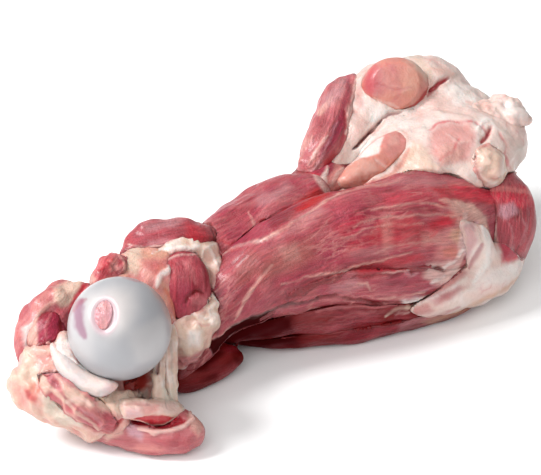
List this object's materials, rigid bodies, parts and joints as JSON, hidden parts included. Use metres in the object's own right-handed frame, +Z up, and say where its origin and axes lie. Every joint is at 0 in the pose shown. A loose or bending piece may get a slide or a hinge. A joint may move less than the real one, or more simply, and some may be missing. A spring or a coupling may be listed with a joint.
{
  "type": "meaty pork leg bone",
  "caption": "Raw pig thigh bone in its meat, lying on its side: a bare pearly ball at the hip end, long red muscles along the shaft and a white knee end with its kneecap.",
  "frame": {"origin": "on the floor, under the middle of the whole", "axes": "+X along the leg from hip to knee, +Z up, -Y the side that the round head and the front muscle face"},
  "size_m": [0.2324, 0.0958, 0.0767],
  "materials": {
    "bone": "wet pearly cartilage on bone, satin gloss",
    "gristle": "wet white tendon, capsule and membrane",
    "fat": "soft cream fat, satin",
    "pink": "wet salmon gristle and membrane",
    "meat": "raw red meat, moist, with fibres",
    "dark_meat": "dark crimson raw meat, moist",
    "pale_meat": "pale pink raw meat and membrane, moist"
  },
  "bodies": {
    "root": {"thigh_bone": "bone", "head_ligament": "pink", "hip_rim": "gristle", "hip_strands": "gristle", "hip_flap": "pale_meat", "hip_block": "dark_meat", "hip_fat": "fat", "hip_top_muscle": "meat", "hip_band": "fat", "hip_red_bits": "meat", "collar_oval": "dark_meat", "collar_lower": "pale_meat", "collar_upper": "pale_meat", "collar_fat": "fat", "hip_tissue": "pale_meat", "kneecap": "pink", "knee_strip": "meat", "knee_pad": "pink", "knee_lobe": "fat", "knee_flap": "gristle", "knee_end_muscle": "meat", "tendon_sheet": "gristle", "front_muscle": "meat", "front_lower": "meat", "middle_bundle": "dark_meat", "lower_bundle": "dark_meat", "top_muscle": "meat", "under_muscle": "dark_meat", "rear_muscle": "meat", "deep_muscle": "dark_meat", "knee_capsule": "gristle"}
  },
  "joints": []
}
